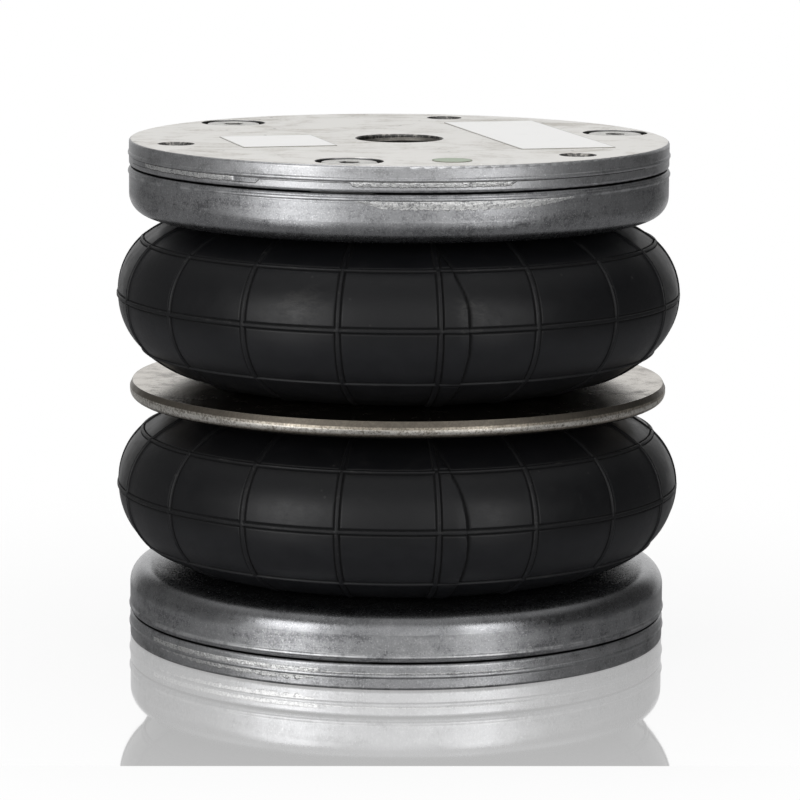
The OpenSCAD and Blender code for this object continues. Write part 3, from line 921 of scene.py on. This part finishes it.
def flash_strip(strip, material):
    """Spins a strip along the rim and tears it."""
    bm = bmesh.new()
    end = bm.verts.new((RIM - FLASH_ROOT, 0.0, 0.0))
    end = run(bm, end, FLASH_ROOT, 0.0)
    for _ in range(FLASH_ROWS):
        end = run(bm, end, 0.0, -1.0 / FLASH_ROWS)
    run(bm, end, -FLASH_ROOT, 0.0)
    start = math.radians(strip.start - 90.0)
    sweep = math.radians(strip.end - strip.start)
    bmesh.ops.rotate(bm, verts=bm.verts, cent=ORIGIN, matrix=Matrix.Rotation(start, 3, "Z"))
    spin(bm, list(bm.edges), sweep, int(sweep * RIM / FLASH_STEP))
    torn = bm.verts.layers.float.new("torn")
    edge = bm.verts.layers.float.new("edge")
    taper = 0.9 if strip.lined else 1.1
    for vert in bm.verts:
        angle = math.degrees(math.atan2(vert.co.y, vert.co.x)) + 90.0
        rough = strip.rough(angle)
        vert[torn] = rough
        place = vert.co.xy / MM
        drop = -vert.co.z
        ragged = 0.4 * noise.noise(Vector((place.x, place.y, 4.0)) * 0.9)
        ragged += 0.6 * noise.noise(Vector((place.x, place.y, 9.0)) * 3.1)
        height = strip.height(angle) * (1.0 + rough * 0.28 * ragged)
        # The edge layer places the painted shadow lines along a lined strip's edges
        vert[edge] = min(drop, 1.0 - drop) * height / MM if strip.lined else 1.0
        vert.co.z = strip.top * MM - drop * height
        if vert.co.xy.length < RIM - 0.5 * FLASH_ROOT:
            continue
        point = Vector((place.x, place.y, vert.co.z / MM))
        lump = 0.5 * noise.noise(point * 1.6) + noise.noise(point * 3.7)
        proud = 0.12 * MM + rough * (0.05 + 0.14 * lump) * MM
        proud *= 1.0 - taper * smooth_step(drop, 0.25, 1.0) * rough
        vert.co.xy *= 1.0 + proud / RIM
    return finish_piece(bm, strip.name, material)


class BELLOWS_OT_convolutions(bpy.types.Operator):
    """Models the ribbed rubber convolutions"""
    bl_idname = "bellows.convolutions"
    bl_label = "Rubber convolutions"

    def execute(self, context):
        sizes = context.scene.bellows_rubber
        paint = rubber_paint("moulded_rubber", context.scene.bellows_finishes)
        layers = ("cover", "outer_ply", "inner_ply", "liner")
        for level, equator, outward, end in (("upper", UPPER_EQUATOR, 1.0, "top"),
                                             ("lower", LOWER_EQUATOR, -1.0, "base")):
            body = level + "_convolution"
            for side, up, other in (("ring", outward, end), ("waist", -outward, "girdle")):
                piece = half_convolution(f"{body}_{side}_half", sizes, side, equator, up, paint)
                rise = getattr(sizes, side + "_rise")
                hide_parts(*[f"{level}_{layer}" for layer in layers])
                equator + up * rise
                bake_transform(piece)
        return {"FINISHED"}


class BELLOWS_OT_inner_rubber(bpy.types.Operator):
    """Paints the beads, the waist band and the bead wires"""
    bl_idname = "bellows.inner_rubber"
    bl_label = "Beads and waist"

    def execute(self, context):
        rubber = bpy.data.materials["moulded_rubber"]
        wire = plated_paint("bead_wire_plating", context.scene.bellows_finishes.wire)
        for node in ("top_bead", "bottom_bead", "waist_band"):
            wear(node, rubber)
        for node in ("top_bead_wire", "bottom_bead_wire"):
            wear(node, wire)
        return {"FINISHED"}


class BELLOWS_OT_end_plates(bpy.types.Operator):
    """Paints the cast end plates with their machined faces"""
    bl_idname = "bellows.end_plates"
    bl_label = "End plates"

    def execute(self, context):
        tints = context.scene.bellows_finishes
        top = plate_paint("top_plate_casting", tints, TOP_FACE, -1.0, worn=0.25, port=PORT_MOUTH)
        wear("top_plate", top)
        bottom = plate_paint("bottom_plate_casting", tints, BASE_FACE, 1.0, worn=0.1, port=0.0)
        wear("bottom_plate", bottom)
        return {"FINISHED"}


class BELLOWS_OT_clamp_rings(bpy.types.Operator):
    """Paints the cast clamp rings"""
    bl_idname = "bellows.clamp_rings"
    bl_label = "Clamp rings"

    def execute(self, context):
        tints = context.scene.bellows_finishes
        top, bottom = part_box("top_clamp_ring")[1].z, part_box("bottom_clamp_ring")[0].z
        wear("top_clamp_ring", ring_paint("top_ring_casting", tints, top, -1.0, fillet_shade=0.1))
        wear("bottom_clamp_ring", ring_paint("bottom_ring_casting", tints, bottom, 1.0, fillet_shade=0.6))
        return {"FINISHED"}


class BELLOWS_OT_casting_flash(bpy.types.Operator):
    """Models the torn flash along the moulding lines of the castings"""
    bl_idname = "bellows.casting_flash"
    bl_label = "Casting flash"

    def execute(self, context):
        paint = torn_paint("torn_casting", context.scene.bellows_finishes)
        for strip in FLASH:
            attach(flash_strip(strip, paint), strip.body)
        return {"FINISHED"}


class BELLOWS_OT_threads(bpy.types.Operator):
    """Cuts the threads of the air port and of the mounting holes"""
    bl_idname = "bellows.threads"
    bl_label = "Threads"

    def execute(self, context):
        sizes = context.scene.bellows_metal
        tints = context.scene.bellows_finishes
        # The holes' threads take a dark colour as painted shade
        paint = plated_paint("cut_thread", tints.thread)
        depth = sizes.port_depth - sizes.port_chamfer
        at = (0.0, 0.0, TOP_FACE - sizes.port_chamfer)
        port = helix("air_port_thread", sizes.port_radius, sizes.port_pitch, depth, sizes.thread_height,
                     at, plated_paint("port_thread", tints.port_thread), 1.0)
        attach(port, "top")
        depth = sizes.tap_depth - sizes.tap_chamfer
        for body, _, face, up in ENDS:
            for index in range(BOLT_COUNT):
                angle = BOLT_TURN + index * BOLT_STEP
                x, y = BOLT_CIRCLE * math.cos(angle), BOLT_CIRCLE * math.sin(angle)
                thread = helix(f"{body}_hole_thread_{index + 1}", sizes.tap_radius, sizes.tap_pitch, depth,
                               0.8 * sizes.thread_height, (x, y, face - up * sizes.tap_chamfer), paint, up)
                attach(thread, body)
        return {"FINISHED"}


class BELLOWS_OT_clamp_screws(bpy.types.Operator):
    """Models the low-head socket screws of both ends"""
    bl_idname = "bellows.clamp_screws"
    bl_label = "Clamp screws"

    def execute(self, context):
        sizes = context.scene.bellows_metal
        for body, end, face, up in ENDS:
            paint = screw_paint(f"{end}_screw_plating", context.scene.bellows_finishes, sizes, face, -up)
            piece = clamp_screws(f"{end}_socket_screws", sizes, face, up, paint)
            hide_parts(f"{end}_clamp_screws")
            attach(piece, body)
        return {"FINISHED"}


class BELLOWS_OT_girdle_ring(bpy.types.Operator):
    """Paints the turned girdle ring"""
    bl_idname = "bellows.girdle_ring"
    bl_label = "Girdle ring"

    def execute(self, context):
        low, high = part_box("girdle_ring")
        middle = (low.z + high.z) / 2
        wear("girdle_ring", girdle_paint("turned_girdle", context.scene.bellows_finishes, high.x, middle))
        return {"FINISHED"}


class BELLOWS_OT_labels(bpy.types.Operator):
    """Paints the blank labels and the inspection dot"""
    bl_idname = "bellows.labels"
    bl_label = "Labels"

    def execute(self, context):
        tints = context.scene.bellows_finishes
        across, along = math.cos(LABEL_TURN), math.sin(LABEL_TURN)
        for node, (width, size) in LABELS.items():
            wear(node, film_paint(node + "_film", tints, tints.label, node, 0.27, lambda x, y: (
                abs(x * across + y * along) - width / 2).largest(abs(y * across - x * along) - size / 2)))
        wear("inspection_dot", film_paint("dot_film", tints, tints.dot, "inspection_dot", 0.5,
                                          lambda x, y: (x * x + y * y) ** 0.5 - DOT_RADIUS))
        return {"FINISHED"}


def floor_paint(studio):
    """Pale floor with a gloss, white to the camera but for the object's shadow, and clear from below."""
    paint = Paint("floor")
    lit, dim = [paint.add("ShaderNodeBsdfDiffuse", {"Color": rgba(shade)})
                for shade in (studio.floor, studio.floor_bounce)]
    glow = paint.add("ShaderNodeEmission", {"Color": rgba(WHITE), "Strength": 1.0})
    reach = studio.shadow_reach / MM
    plain = paint.blend(paint.fall(paint.radius, reach * 0.4, reach) * 0.25, glow, lit)
    mirror = paint.add("ShaderNodeBsdfGlossy", {"Color": rgba(WHITE), "Roughness": 0.035})
    ahead = paint.y - paint.x * math.tan(studio.mirror_turn) + studio.mirror_end / MM
    past = paint.fall(ahead, -SHEET_SOFT, SHEET_SOFT) * paint.band(paint.x, 0.0, *SHEET_SIDES)
    sheet = (1.0 - past) * paint.fall(paint.radius, *GLOSS_FADE)
    eye = paint.ray("Camera")
    gloss = paint.add("ShaderNodeFresnel", {"IOR": 1.45})
    gloss = gloss * (eye * sheet * studio.mirror_seen + (1.0 - eye) * studio.mirror)
    seen = eye.largest(paint.ray("Transmission")).largest(paint.ray("Glossy") * studio.gloss_floor)
    both = paint.blend(gloss, paint.blend(seen, dim, plain), mirror)
    under = paint.add("ShaderNodeNewGeometry", output="Backfacing")
    return paint.surface(paint.blend(under, both, paint.add("ShaderNodeBsdfTransparent")))


def softbox(name, at, aim, width, height, level):
    """An area lamp that looks at a point; level is its brightness, where 1 is white."""
    data = bpy.data.lights.new(name, "AREA")
    data.shape = "RECTANGLE"
    data.size = width
    data.size_y = height
    data.energy = level * math.pi * width * height
    lamp = new_object(name, data)
    lamp.location = at
    lamp.rotation_euler = (Vector(aim) - Vector(at)).to_track_quat("-Z", "Y").to_euler()


def studio_world(studio):
    """White to the camera, a white backdrop between dim walls in gloss, and a softer white as light."""
    world = bpy.data.worlds.new("studio")
    bpy.context.scene.world = world
    sky = Nodes(world)
    x, y, z = sky.split(sky.add("ShaderNodeTexCoord", output="Generated"))
    bright = sky.ease(y, 0.80, 0.96).largest(sky.ease(z, 0.5, 0.85) * studio.ceiling)
    front = sky.ease(0.0 - y, 0.55, 0.9) * (studio.front_wall - studio.side_wall)
    side = sky.ease(0.0 - x, 0.35, 0.8) * (studio.left_wall - studio.side_wall) + studio.side_wall
    room = (bright * (1.0 - side) + side).largest(front + side)
    clear = sky.ray("Camera").largest(sky.ray("Transmission"))
    gloss = sky.ray("Glossy")
    level = clear + (1.0 - clear) * (gloss * room + (1.0 - gloss) * studio.room_light)
    background = sky.add("ShaderNodeBackground", {"Color": rgba(WHITE), "Strength": level})
    sky.add("ShaderNodeOutputWorld", {"Surface": background})


class BELLOWS_OT_stage(bpy.types.Operator):
    """Sets the floor, the soft lamps, the white room and the camera"""
    bl_idname = "bellows.stage"
    bl_label = "Stage"

    def execute(self, context):
        studio = context.scene.bellows_studio
        bm = bmesh.new()
        bmesh.ops.create_circle(bm, cap_ends=True, segments=96, radius=FLOOR_RADIUS)
        mesh = new_mesh(bm, "floor")
        mesh.materials.append(floor_paint(studio))
        floor = new_object("floor", mesh)
        floor.location.z = BASE_FACE - FLOOR_GAP
        for name, (at, aim, width, height) in SOFTBOXES.items():
            softbox(name + "_softbox", at, aim, width, height, getattr(studio, name + "_lamp"))
        studio_world(studio)
        data = bpy.data.cameras.new("camera")
        data.sensor_width = SENSOR_WIDTH
        data.lens = studio.camera_lens
        data.shift_x = CAMERA_SHIFT
        camera = new_object("camera", data)
        camera.location = (0.0, -studio.camera_back, studio.camera_up)
        pitch = Matrix.Rotation(math.pi / 2 - studio.camera_pitch, 4, "X")
        roll = Matrix.Rotation(studio.camera_roll, 4, "Z")
        camera.rotation_euler = (pitch @ roll).to_euler()
        context.scene.camera = camera
        context.scene.view_settings.view_transform = "Standard"
        return {"FINISHED"}


STEPS = ("convolutions", "inner_rubber", "end_plates", "clamp_rings", "casting_flash", "threads",
         "clamp_screws", "girdle_ring", "labels", "stage")


class BELLOWS_PT_panel(bpy.types.Panel):
    """Lists the steps that dress the bellows"""
    bl_idname = "BELLOWS_PT_panel"
    bl_label = "Air bellows"
    bl_space_type = "VIEW_3D"
    bl_region_type = "UI"
    bl_category = "Bellows"

    def draw(self, context):
        for step in STEPS:
            self.layout.operator("bellows." + step)


GROUPS = {"bellows_rubber": RubberSizes, "bellows_metal": MetalSizes,
          "bellows_finishes": Finishes, "bellows_studio": StudioSettings}
CLASSES = (*GROUPS.values(), BELLOWS_OT_convolutions, BELLOWS_OT_inner_rubber, BELLOWS_OT_end_plates,
           BELLOWS_OT_clamp_rings, BELLOWS_OT_casting_flash, BELLOWS_OT_threads, BELLOWS_OT_clamp_screws,
           BELLOWS_OT_girdle_ring, BELLOWS_OT_labels, BELLOWS_OT_stage, BELLOWS_PT_panel)


def register():
    for cls in CLASSES:
        bpy.utils.register_class(cls)
    for name, group in GROUPS.items():
        setattr(bpy.types.Scene, name, PointerProperty(type=group))


def unregister():
    for name in GROUPS:
        delattr(bpy.types.Scene, name)
    for cls in reversed(CLASSES):
        bpy.utils.unregister_class(cls)


def main():
    register()
    for step in STEPS:
        getattr(bpy.ops.bellows, step)()


if __name__ == "__main__":
    main()
